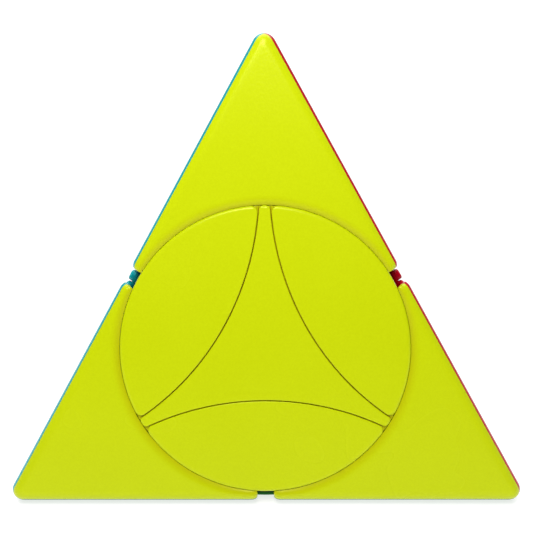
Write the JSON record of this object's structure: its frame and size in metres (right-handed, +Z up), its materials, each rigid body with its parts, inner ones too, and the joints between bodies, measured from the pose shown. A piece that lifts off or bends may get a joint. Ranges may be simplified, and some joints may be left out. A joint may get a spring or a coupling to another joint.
{
  "type": "pyramid twisty puzzle",
  "caption": "Pyramid-shaped twisty puzzle with turning corner pieces and, set in each face, a turning disc cut into a star and petals.",
  "frame": {"origin": "middle of the green face, on the table that the puzzle stands on", "axes": "+Z up, from the green face to the opposite point; the yellow face looks toward -Y, the blue face is on the -X side and the red face on the +X side"},
  "size_m": [0.0946, 0.0821, 0.0774],
  "materials": {
    "yellow_plastic": "satin moulded ABS, fine texture",
    "red_plastic": "satin moulded ABS, fine texture",
    "blue_plastic": "satin moulded ABS, fine texture",
    "green_plastic": "satin moulded ABS, fine texture",
    "dark_plastic": "satin, slightly waxy",
    "steel": "plated steel"
  },
  "bodies": {
    "core": {"core": "dark_plastic", "corner_screws": "steel", "corner_washers": "steel", "corner_springs": "steel", "disc_screws": "steel", "disc_washers": "steel", "disc_springs": "steel"},
    "corner_top": {"frame_top": "dark_plastic", "shell_top_yellow": "yellow_plastic", "shell_top_red": "red_plastic", "shell_top_blue": "blue_plastic"},
    "corner_right": {"frame_right": "dark_plastic", "shell_right_yellow": "yellow_plastic", "shell_right_red": "red_plastic", "shell_right_green": "green_plastic"},
    "corner_left": {"frame_left": "dark_plastic", "shell_left_yellow": "yellow_plastic", "shell_left_blue": "blue_plastic", "shell_left_green": "green_plastic"},
    "corner_rear": {"frame_rear": "dark_plastic", "shell_rear_red": "red_plastic", "shell_rear_blue": "blue_plastic", "shell_rear_green": "green_plastic"},
    "disc_front": {"hub_front": "dark_plastic", "star_front": "yellow_plastic", "petal_front_a": "yellow_plastic", "petal_front_b": "yellow_plastic", "petal_front_c": "yellow_plastic"},
    "disc_right": {"hub_right": "dark_plastic", "star_right": "red_plastic", "petal_right_a": "red_plastic", "petal_right_b": "red_plastic", "petal_right_c": "red_plastic"},
    "disc_left": {"hub_left": "dark_plastic", "star_left": "blue_plastic", "petal_left_a": "blue_plastic", "petal_left_b": "blue_plastic", "petal_left_c": "blue_plastic"},
    "disc_bottom": {"hub_bottom": "dark_plastic", "star_bottom": "green_plastic", "petal_bottom_a": "green_plastic", "petal_bottom_b": "green_plastic", "petal_bottom_c": "green_plastic"}
  },
  "joints": [
    {"name": "corner_top_turn", "type": "hinge", "parent": "core", "child": "corner_top", "pos_m": [0, 0, 0.02041], "axis": [0, 0, 1], "continuous": true},
    {"name": "corner_right_turn", "type": "hinge", "parent": "core", "child": "corner_right", "pos_m": [0, 0, 0.02041], "axis": [0.8165, -0.4714, -0.3333], "continuous": true},
    {"name": "corner_left_turn", "type": "hinge", "parent": "core", "child": "corner_left", "pos_m": [0, 0, 0.02041], "axis": [-0.8165, -0.4714, -0.3333], "continuous": true},
    {"name": "corner_rear_turn", "type": "hinge", "parent": "core", "child": "corner_rear", "pos_m": [0, 0, 0.02041], "axis": [0, 0.9428, -0.3333], "continuous": true},
    {"name": "disc_front_turn", "type": "hinge", "parent": "core", "child": "disc_front", "pos_m": [0, 0, 0.02041], "axis": [0, -0.9428, 0.3333], "continuous": true},
    {"name": "disc_right_turn", "type": "hinge", "parent": "core", "child": "disc_right", "pos_m": [0, 0, 0.02041], "axis": [0.8165, 0.4714, 0.3333], "continuous": true},
    {"name": "disc_left_turn", "type": "hinge", "parent": "core", "child": "disc_left", "pos_m": [0, 0, 0.02041], "axis": [-0.8165, 0.4714, 0.3333], "continuous": true},
    {"name": "disc_bottom_turn", "type": "hinge", "parent": "core", "child": "disc_bottom", "pos_m": [0, 0, 0.02041], "axis": [0, 0, -1], "continuous": true}
  ]
}
